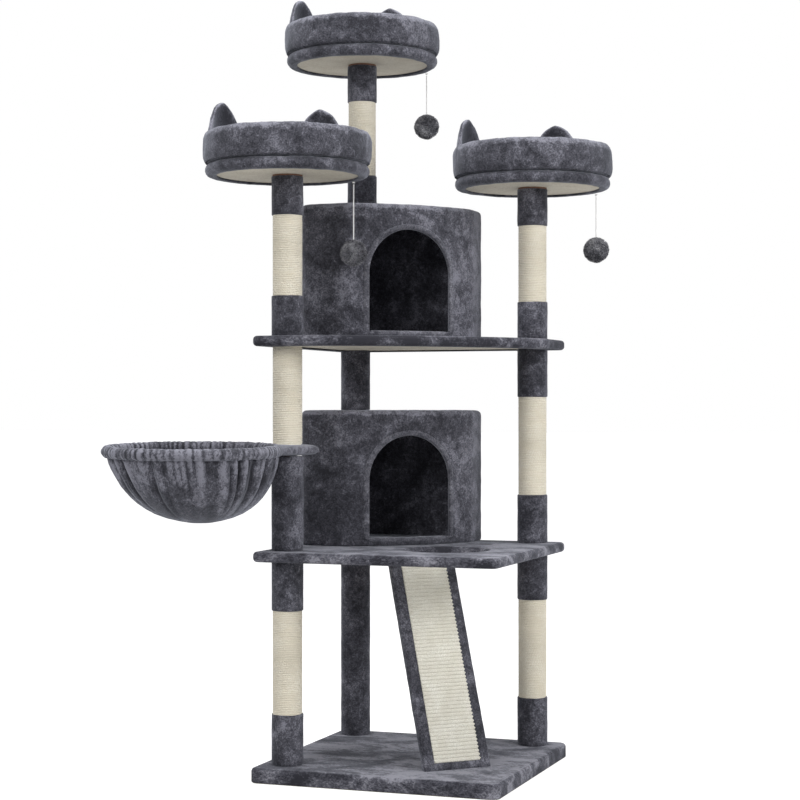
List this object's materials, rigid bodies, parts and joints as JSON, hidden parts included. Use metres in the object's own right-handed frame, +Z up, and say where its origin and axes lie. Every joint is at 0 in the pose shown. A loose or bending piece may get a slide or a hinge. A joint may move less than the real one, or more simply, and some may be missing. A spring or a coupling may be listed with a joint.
{
  "type": "cat tree",
  "caption": "Free-standing cat tree with sisal-wound posts, plush shelves, corner condos, padded perches, a swivelling hammock, a climbing ramp and hanging ball toys.",
  "frame": {"origin": "centre of the base's underside, on the floor", "axes": "+Z up the posts, -Y towards the front, +X to the right seen from the front"},
  "size_m": [1.0226, 1.03, 1.911],
  "materials": {
    "plush": "short crushed plush pile, charcoal grey",
    "padding": "plush over soft fibre filling, charcoal grey",
    "toy_plush": "fluffy plush ball, charcoal grey",
    "plush_board": "board panel covered with charcoal plush",
    "sisal": "natural sisal",
    "board": "bare pale particle board",
    "cardboard": "brown pressed cardboard tube",
    "plug": "moulded plastic",
    "hardware": "zinc-plated steel",
    "hoop_steel": "black powder coat",
    "string": "white elastic cord"
  },
  "bodies": {
    "tree": {"base_board": "board", "base_cover": "plush", "middle_shelf_board": "board", "middle_shelf_cover": "plush", "upper_shelf_board": "board", "upper_shelf_cover": "plush", "post_end_plugs": "plug", "perch_ears": "plush", "ramp_board": "plush_board", "ramp_sisal": "sisal", "studs": "hardware", "bolts": "hardware", "screws": "hardware", "front_left_lower_tube": "cardboard", "front_left_middle_tube": "cardboard", "front_left_hammock_tube": "cardboard", "front_left_top_tube": "cardboard", "back_right_lower_tube": "cardboard", "back_right_middle_tube": "cardboard", "back_right_top_tube": "cardboard", "back_left_lower_tube": "cardboard", "back_left_middle_tube": "cardboard", "back_left_top_tube": "cardboard", "front_left_lower_sisal": "sisal", "front_left_hammock_sisal": "sisal", "front_left_top_sisal": "sisal", "back_right_lower_sisal": "sisal", "back_right_middle_sisal": "sisal", "back_right_top_sisal": "sisal", "back_left_top_sisal": "sisal", "front_left_sleeves": "plush", "back_right_sleeves": "plush", "back_left_sleeves": "plush", "lower_condo_roof": "plush_board", "lower_condo_wall": "plush_board", "lower_condo_back": "plush_board", "upper_condo_roof": "plush_board", "upper_condo_wall": "plush_board", "upper_condo_back": "plush_board", "left_perch_board": "board", "left_perch_cover": "plush", "left_perch_bolster": "padding", "right_perch_board": "board", "right_perch_cover": "plush", "right_perch_bolster": "padding", "top_perch_board": "board", "top_perch_cover": "plush", "top_perch_bolster": "padding"},
    "hammock": {"hammock_frame": "hoop_steel", "hammock_rim": "plush", "hammock_bowl": "plush"},
    "left_toy_hook": {"left_toy_knot": "string"},
    "left_toy": {"left_toy_string": "string", "left_toy_ball": "toy_plush"},
    "right_toy_hook": {"right_toy_knot": "string"},
    "right_toy": {"right_toy_string": "string", "right_toy_ball": "toy_plush"},
    "top_toy_hook": {"top_toy_knot": "string"},
    "top_toy": {"top_toy_string": "string", "top_toy_ball": "toy_plush"}
  },
  "joints": [
    {"name": "hammock_swivel", "type": "hinge", "parent": "tree", "child": "hammock", "pos_m": [-0.236, -0.216, 0.766], "axis": [0, 0, 1], "range_deg": [-55, 120]},
    {"name": "left_toy_sway", "type": "hinge", "parent": "tree", "child": "left_toy_hook", "pos_m": [-0.11721, -0.09721, 1.3962], "axis": [1, 0, 0], "range_deg": [-28, 2]},
    {"name": "left_toy_swing", "type": "hinge", "parent": "left_toy_hook", "child": "left_toy", "pos_m": [-0.11721, -0.09721, 1.3962], "axis": [0, 1, 0], "range_deg": [-40, 14]},
    {"name": "right_toy_sway", "type": "hinge", "parent": "tree", "child": "right_toy_hook", "pos_m": [0.35469, 0.36469, 1.3962], "axis": [1, 0, 0], "range_deg": [-35, 35]},
    {"name": "right_toy_swing", "type": "hinge", "parent": "right_toy_hook", "child": "right_toy", "pos_m": [0.35469, 0.36469, 1.3962], "axis": [0, 1, 0], "range_deg": [-40, 30]},
    {"name": "top_toy_sway", "type": "hinge", "parent": "tree", "child": "top_toy_hook", "pos_m": [-0.09431, 0.36469, 1.7252], "axis": [1, 0, 0], "range_deg": [-35, 35]},
    {"name": "top_toy_swing", "type": "hinge", "parent": "top_toy_hook", "child": "top_toy", "pos_m": [-0.09431, 0.36469, 1.7252], "axis": [0, 1, 0], "range_deg": [-40, 30]}
  ]
}
